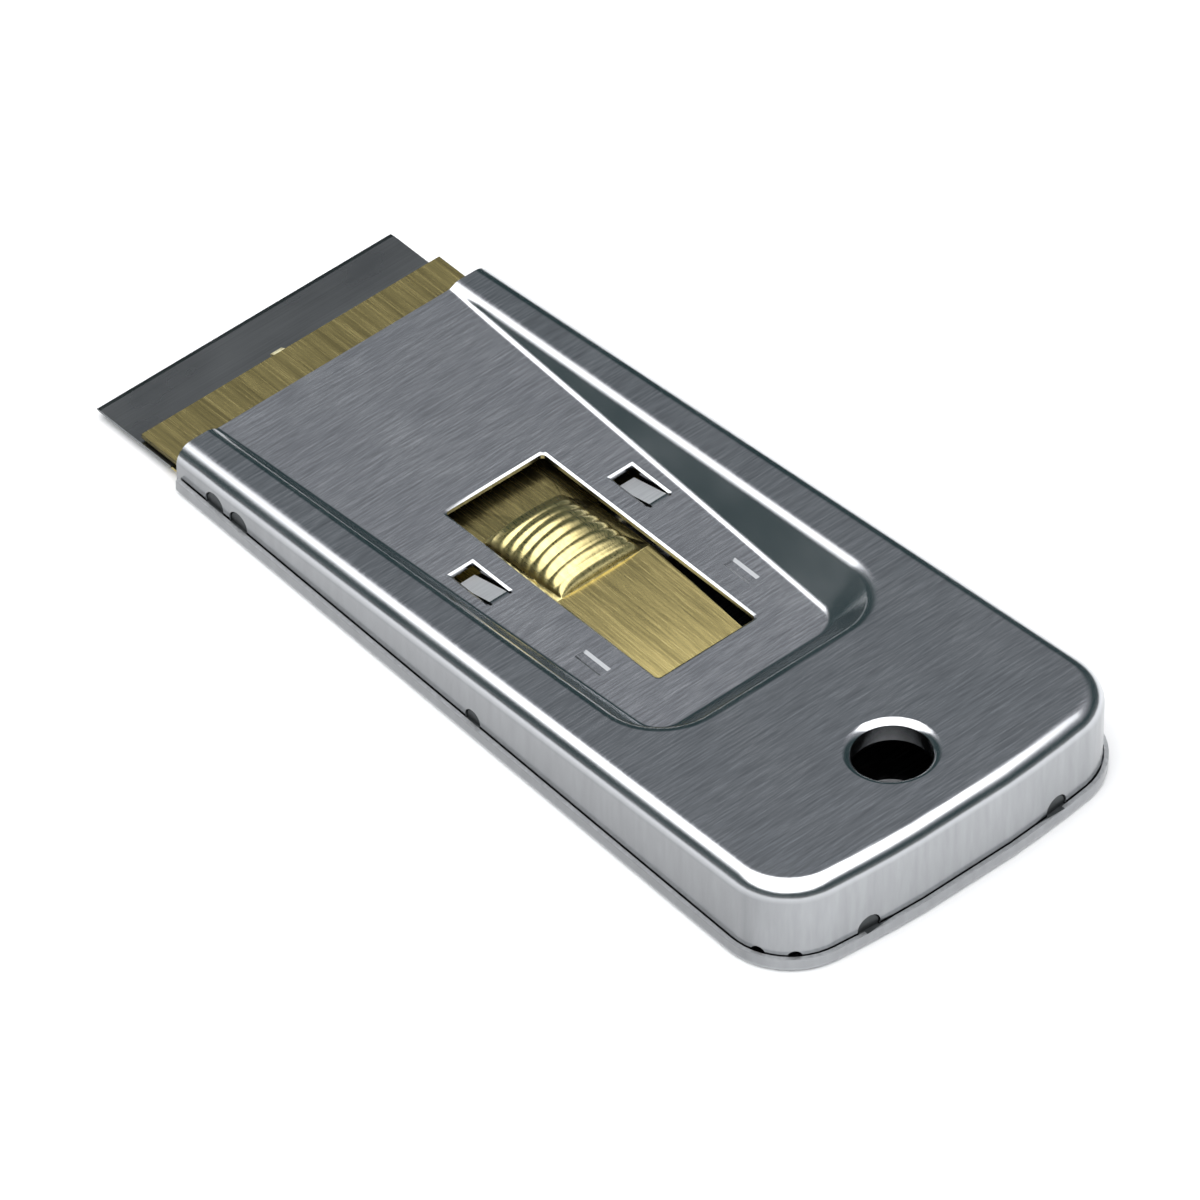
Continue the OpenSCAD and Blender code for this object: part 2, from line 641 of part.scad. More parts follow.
module thumb_hump() {
    n = len(hump_v);
    m = len(hump_s);
    top = [for (s = hump_s, v = hump_v) [-hump_x - s, v * hump_wide / 2, hump_z(s, v)]];
    k = len(top);
    polyhedron(points = concat(top, [for (p = top) p - [0, 0, hump_t]]), convexity = 10, faces = concat(
        [for (i = [0:m - 2], j = [0:n - 2], h = [0, 1]) h == 0
            ? [i * n + j, (i + 1) * n + j, (i + 1) * n + j + 1]
            : [i * n + j, (i + 1) * n + j + 1, i * n + j + 1]],
        [for (i = [0:m - 2], j = [0:n - 2], h = [0, 1]) h == 0
            ? [k + i * n + j, k + (i + 1) * n + j + 1, k + (i + 1) * n + j]
            : [k + i * n + j, k + i * n + j + 1, k + (i + 1) * n + j + 1]],
        [for (j = [0:n - 2]) [j, j + 1, k + j + 1, k + j]],
        [for (j = [0:n - 2]) let (a = (m - 1) * n + j) [a, k + a, k + a + 1, a + 1]],
        [for (i = [0:m - 2]) let (a = i * n) [a, k + a, k + a + n, a + n]],
        [for (i = [0:m - 2]) let (a = i * n + n - 1) [a, a + n, k + a + n, k + a]]));
}

module razor_blade() {
    back = spine_back + spine_t / 2;
    color(DARK_STEEL) translate([mouth_x, blade_shift, 0]) difference() {
        translate([0, blade_w / 2, spine_z]) rotate([90, 0, 0]) linear_extrude(blade_w) polygon([
            [back, -blade_t / 2], [blade_reach - bevel_l, -blade_t / 2], [blade_reach, -edge_t / 2],
            [blade_reach, edge_t / 2], [blade_reach - bevel_l, blade_t / 2], [back, blade_t / 2]]);
        for (s = [0, 1]) mirror([0, s, 0])
            translate([notch_x, blade_w / 2 - notch_d, spine_z - spine_t / 2])
                cube([notch_l, notch_d + past, spine_t]);
    }
}

module blade_spine() {
    r = spine_t / 2;
    color(STEEL) translate([mouth_x, blade_shift + blade_w / 2, spine_z]) rotate([90, 0, 0])
        linear_extrude(blade_w) difference() {
            union() {
                translate([spine_back + r, 0]) circle(r);
                translate([spine_back + r, -r]) square([spine_l - r, spine_t]);
            }
            translate([spine_back + r, -blade_t / 2]) square([spine_l, blade_t]);
        }
}

upper_shell();
lower_shell();
blade_slide();
razor_blade();
blade_spine();
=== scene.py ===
"""Looks of a retractable razor blade scraper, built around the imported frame.

The casing is two brushed steel pressings, the slide one brass stamping, and the blade a
single-edge strip with a folded spine. Everything is in metres, in the frame's own axes:
+X out of the mouth, +Y to the left, +Z up from the flat underside.
"""

import logging
import math
from dataclasses import dataclass
from enum import Enum
from typing import Any, Callable

import bpy
import numpy as np
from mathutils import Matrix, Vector
from mathutils.kdtree import KDTree


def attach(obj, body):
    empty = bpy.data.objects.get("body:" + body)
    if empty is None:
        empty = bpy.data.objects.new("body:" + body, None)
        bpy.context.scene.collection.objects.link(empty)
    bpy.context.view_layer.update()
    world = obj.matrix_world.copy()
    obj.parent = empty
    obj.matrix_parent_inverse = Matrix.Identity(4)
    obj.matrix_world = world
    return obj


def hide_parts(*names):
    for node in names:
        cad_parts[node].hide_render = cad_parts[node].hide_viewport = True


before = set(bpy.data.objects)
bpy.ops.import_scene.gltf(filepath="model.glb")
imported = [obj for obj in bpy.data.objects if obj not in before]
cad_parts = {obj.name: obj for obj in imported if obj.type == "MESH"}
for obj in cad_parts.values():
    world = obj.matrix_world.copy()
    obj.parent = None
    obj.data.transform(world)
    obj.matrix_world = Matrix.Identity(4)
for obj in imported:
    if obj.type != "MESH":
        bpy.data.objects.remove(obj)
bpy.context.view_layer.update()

MM = 0.001
LOG = logging.getLogger("scraper")
# faces that turn less than this from each other are one flat patch
FLAT_COS = math.cos(math.radians(0.15))
# points this close are joined, and faces that bend less than this become one
JOIN_GAP = 0.001 * MM
DISSOLVE_ANGLE = math.radians(0.02)
# full weight for large faces when normals are averaged
FACE_WEIGHT = 100
# steps of an even spread of points over a triangle, and points across one reach
SPREAD_U, SPREAD_V = 0.7548776662, 0.5698402910
SPOTS_PER_REACH = 3
# least length and area that anything is divided by
TINY_LENGTH, TINY_AREA = 1e-9, 1e-15
# upward part of a normal above which a face counts as lying flat
UPWARD = 0.9
# band that holds most of a noise's values
MIDDLE = (0.3, 0.7)

Colour = tuple[float, float, float]
Triple = tuple[float, float, float]
Pair = tuple[float, float]
Patch = tuple[float, float, float, float]


class Body(Enum):
    """The two bodies of the frame that pieces ride on."""

    CASING = "casing"
    CARRIER = "carrier"


class Graph:
    """Builds one node tree with short calls."""

    def __init__(self, tree: bpy.types.NodeTree) -> None:
        """Empties the tree.

        Args:
            tree: the node tree of a material or a world.
        """
        self.tree = tree
        tree.nodes.clear()

    def add(self, kind: str, sockets: dict[Any, Any] | None = None, **settings: Any) -> bpy.types.Node:
        """Adds one node.

        Args:
            kind: Blender's name of the node type.
            sockets: values or other nodes' outputs for its inputs, by name or number.
            settings: attributes of the node itself.

        Returns:
            The new node.
        """
        node = self.tree.nodes.new(kind)
        for key, value in settings.items():
            setattr(node, key, value)
        for key, value in (sockets or {}).items():
            if isinstance(value, bpy.types.NodeSocket):
                self.tree.links.new(value, node.inputs[key])
            else:
                node.inputs[key].default_value = value
        return node

    def spot(self, scale: Triple) -> bpy.types.NodeSocket:
        """Gives Object coordinates, stretched for a pattern.

        Args:
            scale: pattern repeats for each metre, by axis.

        Returns:
            The vector output.
        """
        where = self.add("ShaderNodeTexCoord").outputs["Object"]
        mapped = self.add("ShaderNodeMapping", {"Vector": where, "Scale": scale})
        return mapped.outputs["Vector"]

    def noise(self, scale: Triple, detail: float, rough: float) -> bpy.types.NodeSocket:
        """Gives a noise value on stretched Object coordinates.

        Args:
            scale: pattern repeats for each metre, by axis.
            detail: octaves.
            rough: strength of the finer octaves.

        Returns:
            The value output.
        """
        node = self.add("ShaderNodeTexNoise", {"Vector": self.spot(scale), "Scale": 1.0,
                                               "Detail": detail, "Roughness": rough})
        return node.outputs["Fac"]

    def span(self, value: bpy.types.NodeSocket, low: float, high: float,
             start: float = 0.0, end: float = 1.0) -> bpy.types.NodeSocket:
        """Maps a value from low..high to start..end and clamps it.

        Args:
            value: what is mapped.
            low: input that gives start.
            high: input that gives end.
            start: result at low.
            end: result at high.

        Returns:
            The mapped output.
        """
        node = self.add("ShaderNodeMapRange", {"Value": value, "From Min": low, "From Max": high,
                                               "To Min": start, "To Max": end})
        return node.outputs["Result"]

    def math(self, operation: str, a: Any, b: Any = 0.0) -> bpy.types.NodeSocket:
        """Joins two values.

        Args:
            operation: name of the sum, such as MULTIPLY.
            a: first value or output.
            b: second value or output.

        Returns:
            The result's output.
        """
        return self.add("ShaderNodeMath", {0: a, 1: b}, operation=operation).outputs[0]

    def blend(self, share: Any, a: Any, b: Any) -> bpy.types.NodeSocket:
        """Mixes two colours.

        Args:
            share: 0 for a, 1 for b.
            a: first colour or output.
            b: second colour or output.

        Returns:
            The mixed colour's output.
        """
        made = {key: (*v, 1.0) if isinstance(v, tuple) else v for key, v in (("a", a), ("b", b))}
        node = self.add("ShaderNodeMix", data_type="RGBA")
        for number, value in ((0, share), (6, made["a"]), (7, made["b"])):
            if isinstance(value, bpy.types.NodeSocket):
                self.tree.links.new(value, node.inputs[number])
            else:
                node.inputs[number].default_value = value
        return node.outputs[2]

    def bump(self, height: bpy.types.NodeSocket, depth: float, under: Any = None) -> bpy.types.NodeSocket:
        """Turns a height into a normal.

        Args:
            height: the height, 0 to 1.
            depth: metres between height 0 and 1.
            under: normal of a coarser bump below this one.

        Returns:
            The normal output.
        """
        sockets = {"Height": height, "Distance": depth, "Strength": 1.0}
        if under is not None:
            sockets["Normal"] = under
        return self.add("ShaderNodeBump", sockets).outputs["Normal"]

    def surface(self, **sockets: Any) -> None:
        """Ends a material in one Principled shader with these inputs."""
        named = {key.replace("_", " "): value for key, value in sockets.items()}
        shader = self.add("ShaderNodeBsdfPrincipled", named)
        self.add("ShaderNodeOutputMaterial", {"Surface": shader.outputs["BSDF"]})


def new_graph(name: str) -> tuple[bpy.types.Material, Graph]:
    """Makes an empty node material.

    Args:
        name: the material's name.

    Returns:
        The material and its graph.
    """
    material = bpy.data.materials.new(name)
    material.use_nodes = True
    return material, Graph(material.node_tree)


def shaded(colour: Colour, share: float) -> Colour:
    """Gives a lighter or darker shade of a colour.

    Args:
        colour: the colour.
        share: what each part of it is multiplied by.

    Returns:
        The shade, with no part above 1.
    """
    red, green, blue = (min(1.0, part * share) for part in colour)
    return red, green, blue


@dataclass(frozen=True)
class BrushedSteel:
    """Bright sheet steel with a fine cross grain, as both shells have.

    A share is what the colour is multiplied by. A band is the part of a face's normal, along Z
    or X, over which one look passes into the next.
    """

    name: str
    colour: Colour
    grain: Triple
    roughness: float = 0.15
    grain_depth: float = 0.0012 * MM
    wave_depth: float = 0.013 * MM
    # painted shade: the walls get a darker copy of the colour than the flats
    painted_wall_shade: float = 0.47
    # painted shade on the end walls, less dark than on the side walls
    painted_end_wall_shade: float = 0.66
    curve_rough: float = 0.045
    light_share: float = 1.22
    dark_share: float = 0.79
    cloud_share: float = 0.8
    draw_share: float = 0.4
    flat_band: Pair = (0.965, 0.99)
    wall_band: Pair = (0.1, 0.5)
    rear_band: Pair = (0.2, 0.85)
    cloud: Triple = (90.0, 140.0, 160.0)
    wave: Triple = (55.0, 40.0, 70.0)
    draw: Triple = (900.0, 900.0, 130.0)

    def material(self) -> bpy.types.Material:
        """Builds the grain of the flats, the pressing's faint waves, the walls' draw marks and painted
        shade on the walls.
        """
        made, g = new_graph(self.name)
        fine = g.noise(self.grain, detail=4.0, rough=0.7)
        cloud = g.noise(self.cloud, detail=3.0, rough=0.5)
        wave = g.noise(self.wave, detail=1.0, rough=0.4)
        draw = g.noise(self.draw, detail=4.0, rough=0.65)
        normal = g.add("ShaderNodeNewGeometry").outputs["Normal"]
        facing = g.add("ShaderNodeSeparateXYZ", {"Vector": normal})
        level = g.math("ABSOLUTE", facing.outputs["Z"])
        flat = g.span(level, *self.flat_band)
        endways = g.span(g.math("ABSOLUTE", facing.outputs["X"]), *self.rear_band)
        tone = g.blend(g.span(fine, *MIDDLE), shaded(self.colour, self.dark_share),
                       shaded(self.colour, self.light_share))
        tone = g.blend(g.span(cloud, 0.35, 0.65, 0.0, 0.25), tone, shaded(self.colour, self.cloud_share))
        top = g.blend(flat, self.colour, tone)
        # painted shade on the walls, less dark on the end walls
        wall = g.blend(endways, shaded(self.colour, self.painted_wall_shade), shaded(self.colour, self.painted_end_wall_shade))
        wall = g.blend(g.span(draw, *MIDDLE, 0.0, 0.22), wall,
                       shaded(self.colour, self.painted_wall_shade * self.draw_share))
        base = g.blend(g.span(level, *self.wall_band, 1.0, 0.0), top, wall)
        brushed = g.math("ADD", g.span(fine, 0.25, 0.75, -0.05, 0.07), -self.curve_rough)
        rough = g.math("ADD", g.math("MULTIPLY", brushed, flat),
                       g.span(cloud, *MIDDLE, self.roughness - 0.02, self.roughness + 0.04))
        rough = g.math("ADD", rough, self.curve_rough)
        brush = g.blend(flat, (0.5, 0.5, 0.5), fine)
        normal = g.bump(brush, self.grain_depth, g.bump(wave, self.wave_depth))
        g.surface(Base_Color=base, Metallic=1.0, Roughness=rough, Normal=normal)
        return made


@dataclass(frozen=True)
class RolledBrass:
    """Brass strip with the long streaks of its rolling."""

    name: str
    colour: Colour = (0.45, 0.375, 0.157)
    roughness: float = 0.2
    streak_depth: float = 0.0016 * MM
    light_share: float = 1.22
    dark_share: float = 0.78
    broad_share: float = 1.5
    patch_share: float = 0.75
    streak: Triple = (100.0, 4200.0, 4200.0)
    broad: Triple = (14.0, 1300.0, 1300.0)
    patch: Triple = (110.0, 170.0, 170.0)

    def material(self) -> bpy.types.Material:
        """Builds the broad and fine streaks along the travel, and the dull patches."""
        made, g = new_graph(self.name)
        streak = g.noise(self.streak, detail=4.0, rough=0.7)
        broad = g.noise(self.broad, detail=2.0, rough=0.6)
        patch = g.noise(self.patch, detail=3.0, rough=0.5)
        tone = g.blend(g.span(streak, *MIDDLE), shaded(self.colour, self.dark_share),
                       shaded(self.colour, self.light_share))
        tone = g.blend(g.span(broad, 0.42, 0.6, 0.0, 0.5), tone, shaded(self.colour, self.broad_share))
        base = g.blend(g.span(patch, 0.4, 0.7, 0.0, 0.3), tone, shaded(self.colour, self.patch_share))
        rough = g.math("ADD", g.span(streak, *MIDDLE, -0.05, 0.08),
                       g.span(patch, *MIDDLE, self.roughness, self.roughness + 0.05))
        g.surface(Base_Color=base, Metallic=1.0, Roughness=rough, Normal=g.bump(streak, self.streak_depth))
        return made


@dataclass(frozen=True)
class BladeSteel:
    """Dull hardened blade steel."""

    name: str
    colour: Colour = (0.172, 0.181, 0.184)
    roughness: float = 0.3
    grain_depth: float = 0.0008 * MM
    light_share: float = 1.1
    dark_share: float = 0.9
    patch_share: float = 0.85
    grain: Triple = (6500.0, 90.0, 6500.0)
    patch: Triple = (150.0, 90.0, 150.0)

    def material(self) -> bpy.types.Material:
        """Builds the fine cross grain and the dull patches."""
        made, g = new_graph(self.name)
        grain = g.noise(self.grain, detail=3.0, rough=0.6)
        patch = g.noise(self.patch, detail=3.0, rough=0.55)
        tone = g.blend(g.span(grain, *MIDDLE), shaded(self.colour, self.dark_share),
                       shaded(self.colour, self.light_share))
        base = g.blend(g.span(patch, 0.35, 0.7, 0.0, 0.4), tone, shaded(self.colour, self.patch_share))
        rough = g.span(patch, *MIDDLE, self.roughness - 0.04, self.roughness + 0.06)
        g.surface(Base_Color=base, Metallic=1.0, Roughness=rough, Normal=g.bump(grain, self.grain_depth))
        return made


def only(piece: bpy.types.Object) -> None:
    """Deselects everything and makes one piece selected and active."""
    bpy.ops.object.select_all(action="DESELECT")
    piece.select_set(True)
    bpy.context.view_layer.objects.active = piece


def merged_copy(node: str, name: str) -> bpy.types.Object:
    """Copies a CAD node as a new piece with joined faces.

    Args:
        node: the CAD node.
        name: the new piece's name.

    Returns:
        The new piece, which replaces the node.
    """
    piece = bpy.data.objects.new(name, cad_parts[node].data.copy())
    bpy.context.scene.collection.objects.link(piece)
    piece.data.materials.clear()
    only(piece)
    bpy.ops.object.mode_set(mode="EDIT")
    bpy.ops.mesh.select_all(action="SELECT")
    bpy.ops.mesh.remove_doubles(threshold=JOIN_GAP)
    bpy.ops.object.mode_set(mode="OBJECT")
    bpy.ops.object.shade_smooth()
    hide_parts(node)
    return piece


def weighted(piece: bpy.types.Object, angle_deg: float) -> None:
    """Shades a piece smooth up to an angle, with its large faces kept flat.

    Args:
        piece: the piece.
        angle_deg: edges that bend further than this stay sharp.
    """
    only(piece)
    bpy.ops.object.mode_set(mode="EDIT")
    bpy.ops.mesh.select_all(action="SELECT")
    bpy.ops.mesh.dissolve_limited(angle_limit=DISSOLVE_ANGLE)
    bpy.ops.object.mode_set(mode="OBJECT")
    bpy.ops.object.shade_smooth_by_angle(angle=math.radians(angle_deg))
    flats = piece.modifiers.new("flats", "WEIGHTED_NORMAL")
    flats.weight, flats.keep_sharp = FACE_WEIGHT, True
    bpy.ops.object.modifier_apply(modifier=flats.name)


def flat_widths(mesh: bpy.types.Mesh, normals: np.ndarray, areas: np.ndarray) -> np.ndarray:
    """Finds how wide the flat patch is that each face belongs to.

    Args:
        mesh: the mesh.
        normals: its faces' normals.
        areas: its faces' areas.

    Returns:
        One width for each face, in metres.
    """
    lead = list(range(len(areas)))

    def root(i: int) -> int:
        """Follows a face to the first face of its patch."""
        while lead[i] != i:
            lead[i] = lead[lead[i]]
            i = lead[i]
        return i

    beside: dict[int, list[int]] = {}
    for face in mesh.polygons:
        for loop in face.loop_indices:
            beside.setdefault(mesh.loops[loop].edge_index, []).append(face.index)
    for pair in beside.values():
        if len(pair) == 2 and normals[pair[0]] @ normals[pair[1]] > FLAT_COS:
            lead[root(pair[0])] = root(pair[1])
    roots = np.array([root(i) for i in range(len(areas))])
    rims = np.zeros(len(areas))
    for edge, faces in beside.items():
        patches = {roots[f] for f in faces}
        if len(patches) > 1:
            start, end = (mesh.vertices[v].co for v in mesh.edges[edge].vertices)
            for patch in patches:
                rims[patch] += (start - end).length
    whole = np.bincount(roots, areas, len(areas))
    return (2.0 * whole / np.maximum(rims, TINY_LENGTH))[roots]


def spread_spots(mesh: bpy.types.Mesh, step: float) -> tuple[np.ndarray, np.ndarray, np.ndarray]:
    """Spreads points evenly over a mesh.

    Args:
        mesh: the mesh.
        step: rough distance between points, in metres.

    Returns:
        The points, the face that each lies on and the area that each stands for.
    """
    mesh.calc_loop_triangles()
    spots, owners, shares = [], [], []
    for tri in mesh.loop_triangles:
        a, b, c = (np.array(mesh.vertices[v].co) for v in tri.vertices)
        n = max(1, math.ceil(tri.area / step ** 2))
        k = np.arange(n)
        u, v = (0.5 + k * SPREAD_U) % 1.0, (0.5 + k * SPREAD_V) % 1.0
        fold = u + v > 1.0
        u[fold], v[fold] = 1.0 - u[fold], 1.0 - v[fold]
        spots.append(a + u[:, None] * (b - a) + v[:, None] * (c - a))
        owners.append(np.full(n, tri.polygon_index))
        shares.append(np.full(n, tri.area / n))
    return np.concatenate(spots), np.concatenate(owners), np.concatenate(shares)


def face_corners(mesh: bpy.types.Mesh) -> list[list[tuple[int, int]]]:
    """Lists the corners at each vertex, as pairs of a loop and its face."""
    around: list[list[tuple[int, int]]] = [[] for _ in mesh.vertices]
    for face in mesh.polygons:
        for loop in face.loop_indices:
            around[mesh.loops[loop].vertex_index].append((loop, face.index))
    return around


def even_normals(piece: bpy.types.Object, reach: float, bend_deg: float, wide: float) -> None:
    """Shades pressed sheet by the mean slope around each point, whatever its triangles are.

    Args:
        piece: the piece.
        reach: how far around a point the slope is averaged, in metres.
        bend_deg: faces that turn further away than this stay out.
        wide: flat patches of at least this width keep their own normal, in metres.
    """
    mesh = piece.data
    count = len(mesh.polygons)
    normals, areas = np.zeros(3 * count), np.zeros(count)
    mesh.polygons.foreach_get("normal", normals)
    mesh.polygons.foreach_get("area", areas)
    normals = normals.reshape(-1, 3)
    flat = flat_widths(mesh, normals, areas) >= wide
    spots, owners, shares = spread_spots(mesh, reach / SPOTS_PER_REACH)
    tree = KDTree(len(spots))
    for i, spot in enumerate(spots):
        tree.insert(spot, i)
    tree.balance()
    result = np.zeros((len(mesh.loops), 3))
    least = math.cos(math.radians(bend_deg))
    for vertex, corners in zip(mesh.vertices, face_corners(mesh)):
        found = tree.find_range(vertex.co, reach)
        near = np.array([i for _, i, _ in found], int)
        fall = (1.0 - (np.array([d for _, _, d in found]) / reach) ** 2) ** 2
        slope, weight = normals[owners[near]], shares[near] * fall
        held = np.array([normals[f] * areas[f] for _, f in corners if flat[f]]).reshape(-1, 3)
        held_way = held / np.maximum(np.linalg.norm(held, axis=1), TINY_AREA)[:, None]
        for loop, face in corners:
            own = normals[face]
            total = held[held_way @ own > least].sum(0)
            if not total.any():
                total = (slope * (weight * (slope @ own > least))[:, None]).sum(0)
            size = np.linalg.norm(total)
            result[loop] = total / size if size > 0.0 else own
    mesh.normals_split_custom_set(result.tolist())


def paint(piece: bpy.types.Object, material: bpy.types.Material,
          chosen: Callable[[Vector, Vector], bool]) -> None:
    """Gives some faces another finish.

    Args:
        piece: the dressed piece.
        material: the finish.
        chosen: says from a face's middle and normal whether it gets the finish.
    """
    piece.data.materials.append(material)
    slot = len(piece.data.materials) - 1
    picked = [face for face in piece.data.polygons if chosen(face.center, face.normal)]
    for face in picked:
        face.material_index = slot
    LOG.info("%s: %d faces in %s", piece.name, len(picked), material.name)


def seat(piece: bpy.types.Object, body: Body, material: bpy.types.Material) -> None:
    """Dresses a piece and lets it ride.

    Args:
        piece: the finished piece.
        body: the body that it rides on.
        material: its finish.
    """
    piece.data.materials.clear()
    piece.data.materials.append(material)
    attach(piece, body.value)
    LOG.info("%s rides on %s with %d faces", piece.name, body.value, len(piece.data.polygons))


@dataclass
class Casing:
    """The two pressed steel shells.

    Places are in the frame's axes, but a side crimp is given by its distance behind the mouth
    and its reach, and a rear crimp by its distance from the middle and its reach.
    """

    mouth_x: float = 39.425 * MM
    half_mouth: float = 20.3 * MM
    taper: float = 2.45 / 91.2
    lip_out: float = 0.55 * MM
    lip_h: float = 1.7 * MM
    panel_h: float = 4.65 * MM
    window: Patch = (3.525 * MM, 8.825 * MM, 8.9 * MM, 11.7 * MM)
    crimps_along: tuple[Pair, ...] = ((5.8 * MM, 1.5 * MM), (9.45 * MM, 1.5 * MM), (44.9 * MM, 1.25 * MM))
    crimp_rear: Pair = (12.1 * MM, 1.5 * MM)
    crimp_z: float = 1.95 * MM
    leaf_below: float = 0.2 * MM
    leaf_inward: Pair = (0.5 * MM, 1.6 * MM)
    rear_x: float = -45.0 * MM
    close: float = 0.05 * MM
    rest: Patch = (-11.25 * MM, -7.5 * MM, 8.8 * MM, 10.4 * MM)
    rest_slope: Pair = (0.6, 0.99)
    rest_drop: Pair = (0.02 * MM, 0.4 * MM)
    steel: BrushedSteel = BrushedSteel("shell_steel", (0.6, 0.615, 0.635), (4400.0, 220.0, 420.0))
    # painted shade: dark steel on the crimps' leaves, where the dents lie in shadow
    crimp_shade_steel: BrushedSteel = BrushedSteel("crimp_painted_shade", (0.16, 0.17, 0.175), (900.0, 900.0, 900.0), 0.42)
    sheared: BrushedSteel = BrushedSteel("sheared_steel", (0.55, 0.56, 0.57), (2600.0, 2600.0, 420.0), 0.5)
    # lock tabs: the rough finish is real, the lighter colour is painted light
    tab_lit_steel: BrushedSteel = BrushedSteel("tab_painted_light", (0.8, 0.81, 0.825), (5200.0, 160.0, 420.0), 0.44)
    # painted shade: darker steel on the rests' sloping sides dims their reflection
    rest_side_shade_steel: BrushedSteel = BrushedSteel("rest_painted_shade", (0.34, 0.35, 0.36), (3000.0, 400.0, 420.0), 0.3)

    @staticmethod
    def within(spot: Vector, patch: Patch) -> bool:
        """Says whether a point lies over a patch, given by its X and its distance from the middle."""
        low, high, inner, outer = patch
        return low < spot.x < high and inner < abs(spot.y) < outer

    def on_tab(self, spot: Vector, normal: Vector) -> bool:
        """Says whether a face is the upper side of a lock tab."""
        below = spot.z < self.panel_h - self.close
        return self.within(spot, self.window) and normal.z > UPWARD and below

    def in_rest(self, spot: Vector, normal: Vector) -> bool:
        """Says whether a face is a sloping side of a rest pressed into the panel."""
        steep, gentle = self.rest_slope
        shallow, deep = self.rest_drop
        sunk = shallow < self.panel_h - spot.z < deep
        return self.within(spot, self.rest) and steep < normal.z < gentle and sunk

    def on_lip(self, spot: Vector, normal: Vector) -> bool:
        """Says whether a face is the sheared edge on top of the lip."""
        return normal.z > UPWARD and abs(spot.z - self.lip_h) < self.close

    def on_leaf(self, spot: Vector, normal: Vector) -> bool:
        """Says whether a face belongs to a crimp's leaf, above the lip."""
        if spot.z < self.lip_h - self.leaf_below:
            return False
        near, far = self.leaf_inward
        for along, reach in self.crimps_along:
            side = self.half_mouth + self.taper * along + self.lip_out
            if math.hypot(spot.x - self.mouth_x + along, spot.z - self.crimp_z) < reach:
                return near < side - abs(spot.y) < far
        across, reach = self.crimp_rear
        return spot.x < self.rear_x and math.hypot(abs(spot.y) - across, spot.z - self.crimp_z) < reach

    def build(self) -> None:
        """Makes and dresses both shells."""
        steel = self.steel.material()
        upper = merged_copy("upper_shell", "upper_shell_sheet")
        lower = merged_copy("lower_shell", "lower_shell_tray")
        for piece, node in ((upper, "upper_shell"), (lower, "lower_shell")):
            even_normals(piece, reach=0.6 * MM, bend_deg=25.0, wide=1.5 * MM)
            seat(piece, Body.CASING, steel)
        # painted light on the lock tabs
        paint(upper, self.tab_lit_steel.material(), self.on_tab)
        # painted shade on the rests' sloping sides
        paint(upper, self.rest_side_shade_steel.material(), self.in_rest)
        paint(lower, self.sheared.material(), self.on_lip)
        # painted shade on the crimps' leaves
        paint(lower, self.crimp_shade_steel.material(), self.on_leaf)


@dataclass
class Carrier:
    """The brass slide with its blade."""

    brass: RolledBrass = RolledBrass("slide_brass")
    blade: BladeSteel = BladeSteel("blade_steel")
    # painted highlight: the hump gets a brighter copy of the slide's brass
    hump_lit_brass: RolledBrass = RolledBrass("hump_brass_painted_light", (0.62, 0.53, 0.245), 0.27)
    # painted glint: light brass on the nib
    nib_glint_brass: RolledBrass = RolledBrass("nib_painted_glint", (0.82, 0.75, 0.5), 0.6)
    hump: Triple = (0.0, 11.8 * MM, 5.25 * MM)
    strip_top: float = 3.46 * MM
    strip_fall: float = 0.055
    side_slack: float = 0.05
    nib: Triple = (45.4 * MM, 0.75 * MM, 2.25 * MM)
    spine: BrushedSteel = BrushedSteel("spine_steel", (0.5, 0.51, 0.53), (5200.0, 130.0, 420.0))

    def on_hump(self, spot: Vector, normal: Vector) -> bool:
        """Says whether a face is the upper side of the thumb hump."""
        low, high, half = self.hump
        level = self.strip_top - self.strip_fall * max(0.0, spot.x)
        over = low < spot.x < high and abs(spot.y) < half
        return over and spot.z > level and normal.z > -self.side_slack

    def on_nib(self, spot: Vector, normal: Vector) -> bool:
        """Says whether a face belongs to the nib on the head's front edge."""
        front, low, high = self.nib
        return spot.x > front and low < spot.y < high and normal.z > self.side_slack

    def build(self) -> None:
        """Makes and dresses the slide, the blade and its spine."""
        slide = merged_copy("blade_slide", "slide_stamping")
        weighted(slide, angle_deg=40.0)
        blade = merged_copy("razor_blade", "blade_strip")
        weighted(blade, angle_deg=15.0)
        spine = merged_copy("blade_spine", "spine_fold")
        weighted(spine, angle_deg=30.0)
        seat(slide, Body.CARRIER, self.brass.material())
        # painted highlight on the hump
        paint(slide, self.hump_lit_brass.material(), self.on_hump)
        # painted glint on the nib
        paint(slide, self.nib_glint_brass.material(), self.on_nib)
        seat(blade, Body.CARRIER, self.blade.material())
        seat(spine, Body.CARRIER, self.spine.material())


@dataclass(frozen=True)
class Softbox:
    """One round studio lamp that faces down."""

    name: str
    at: Triple
    across: float
    radiance: float

    def build(self) -> None:
        """Places the lamp and hides it from the camera."""
        lamp = bpy.data.lights.new(self.name, "AREA")
        lamp.shape, lamp.size = "DISK", self.across
        lamp.energy = self.radiance * math.pi * math.pi * (self.across / 2) ** 2
        made = bpy.data.objects.new(self.name, lamp)
        made.location = self.at
        made.visible_camera = False
        bpy.context.scene.collection.objects.link(made)


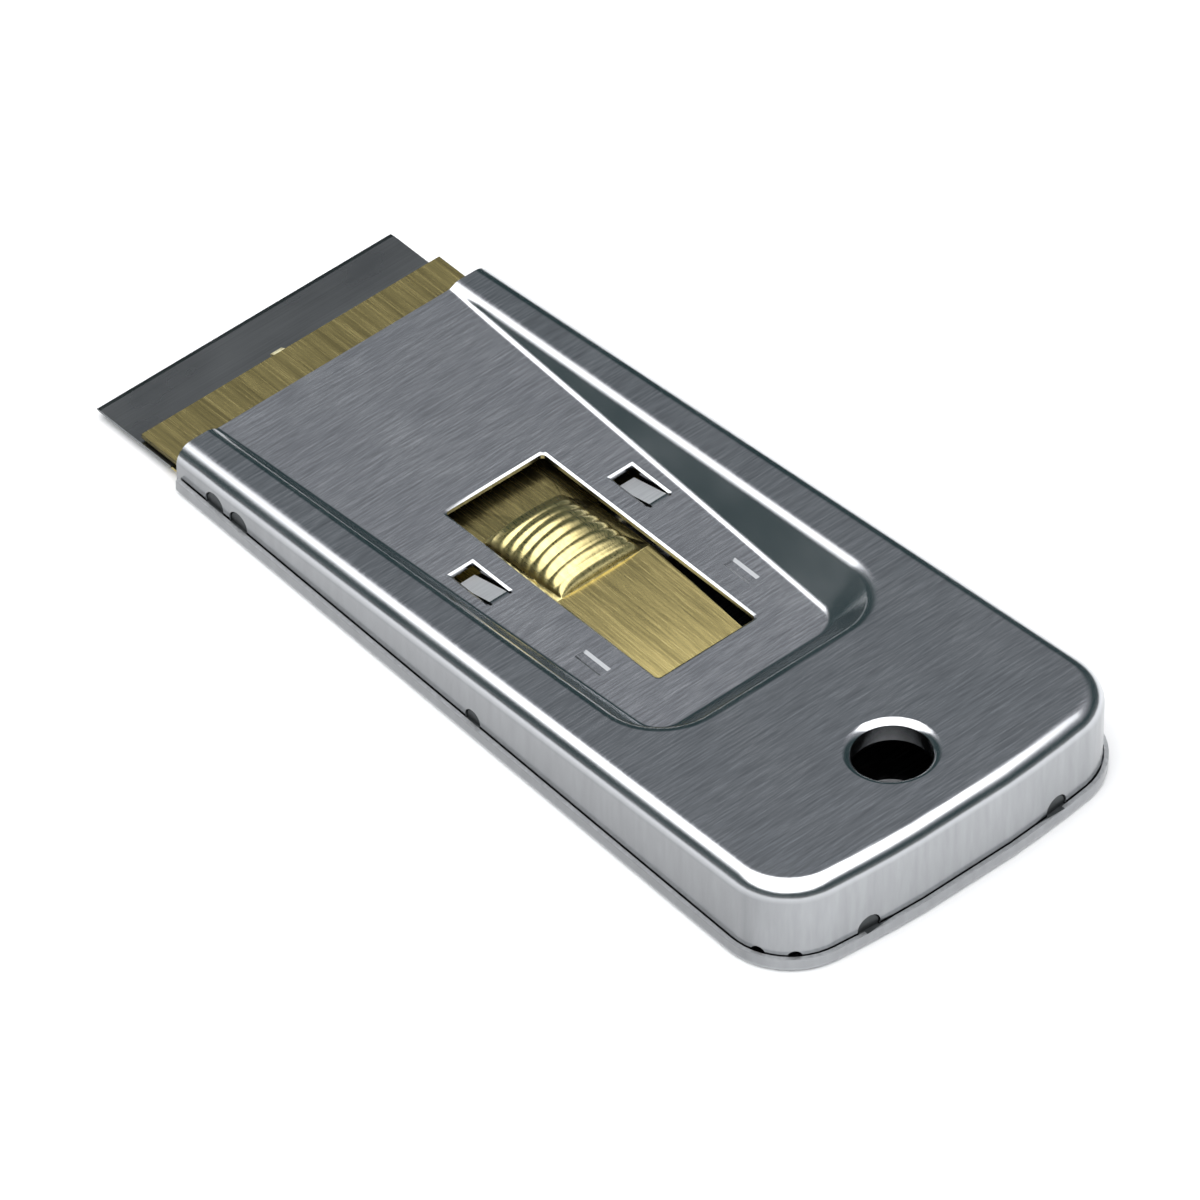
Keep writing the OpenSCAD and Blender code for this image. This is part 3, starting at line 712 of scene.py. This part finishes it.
@dataclass
class Studio:
    """Floor, lamp, room and camera."""

    floor_side: float = 30.0
    camera_at: Triple = (-0.8092, 0.7209, 1.0368)
    camera_aim: Triple = (0.01170, -0.01011, -0.01463)
    lens_mm: float = 466.06
    sensor_mm: float = 36.0
    clip: Pair = (0.05, 100.0)
    lamp: Softbox = Softbox("overhead_box", at=(-0.3, 0.82, 2.0), across=4.53, radiance=2.3)
    floor_drop: float = 0.02 * MM
    dim_side: Triple = (0.8, -0.6, 0.0)
    dim_band: Pair = (0.3, 0.7)
    room_low: Colour = (0.032, 0.058, 0.062)
    room_horizon: Colour = (0.25, 0.255, 0.26)
    room_high: Colour = (0.31, 0.315, 0.34)

    def floor(self) -> None:
        """Lays a plain white floor that keeps the scraper's shadow."""
        bpy.ops.object.select_all(action="DESELECT")
        bpy.ops.mesh.primitive_plane_add(size=self.floor_side, location=(0.0, 0.0, -self.floor_drop))
        floor = bpy.context.object
        floor.name = "floor"
        made, g = new_graph("floor_white")
        g.surface(Base_Color=(0.95, 0.95, 0.95, 1.0), Roughness=0.9, Specular_IOR_Level=0.0)
        floor.data.materials.append(made)

    def room(self) -> None:
        """Gives the studio room: mid grey above, dark below, lighter along all but one side's horizon."""
        world = bpy.data.worlds.new("studio_room")
        bpy.context.scene.world = world
        world.use_nodes = True
        g = Graph(world.node_tree)
        way = g.add("ShaderNodeTexCoord").outputs["Generated"]
        up = g.add("ShaderNodeSeparateXYZ", {"Vector": way}).outputs["Z"]
        side = g.add("ShaderNodeVectorMath", {0: way, 1: self.dim_side}, operation="DOT_PRODUCT")
        open_side = g.span(side.outputs["Value"], *self.dim_band, 1.0, 0.0)
        horizon = g.math("MULTIPLY", g.span(up, 0.0, 0.36, 1.0, 0.0), open_side)
        low = g.blend(horizon, self.room_low, self.room_horizon)
        tone = g.blend(g.span(up, 0.5, 0.72), low, self.room_high)
        back = g.add("ShaderNodeBackground", {"Color": tone, "Strength": 1.0})
        g.add("ShaderNodeOutputWorld", {"Surface": back.outputs["Background"]})

    def camera(self) -> None:
        """Sets the camera where the photograph was taken from."""
        lens = bpy.data.cameras.new("camera")
        lens.lens, lens.sensor_width, lens.sensor_fit = self.lens_mm, self.sensor_mm, "HORIZONTAL"
        lens.clip_start, lens.clip_end = self.clip
        made = bpy.data.objects.new("camera", lens)
        made.location = self.camera_at
        way = Vector(self.camera_aim) - Vector(self.camera_at)
        made.rotation_euler = way.to_track_quat("-Z", "Y").to_euler()
        bpy.context.scene.collection.objects.link(made)
        bpy.context.scene.camera = made

    def build(self) -> None:
        """Sets up the whole studio."""
        self.camera()
        self.floor()
        self.room()
        self.lamp.build()
        bpy.context.scene.view_settings.view_transform = "Standard"


def main() -> None:
    """Builds the studio and the scraper in order."""
    logging.basicConfig(level=logging.INFO, format="%(name)s: %(message)s")
    Studio().build()
    Casing().build()
    Carrier().build()


if __name__ == "__main__":
    main()
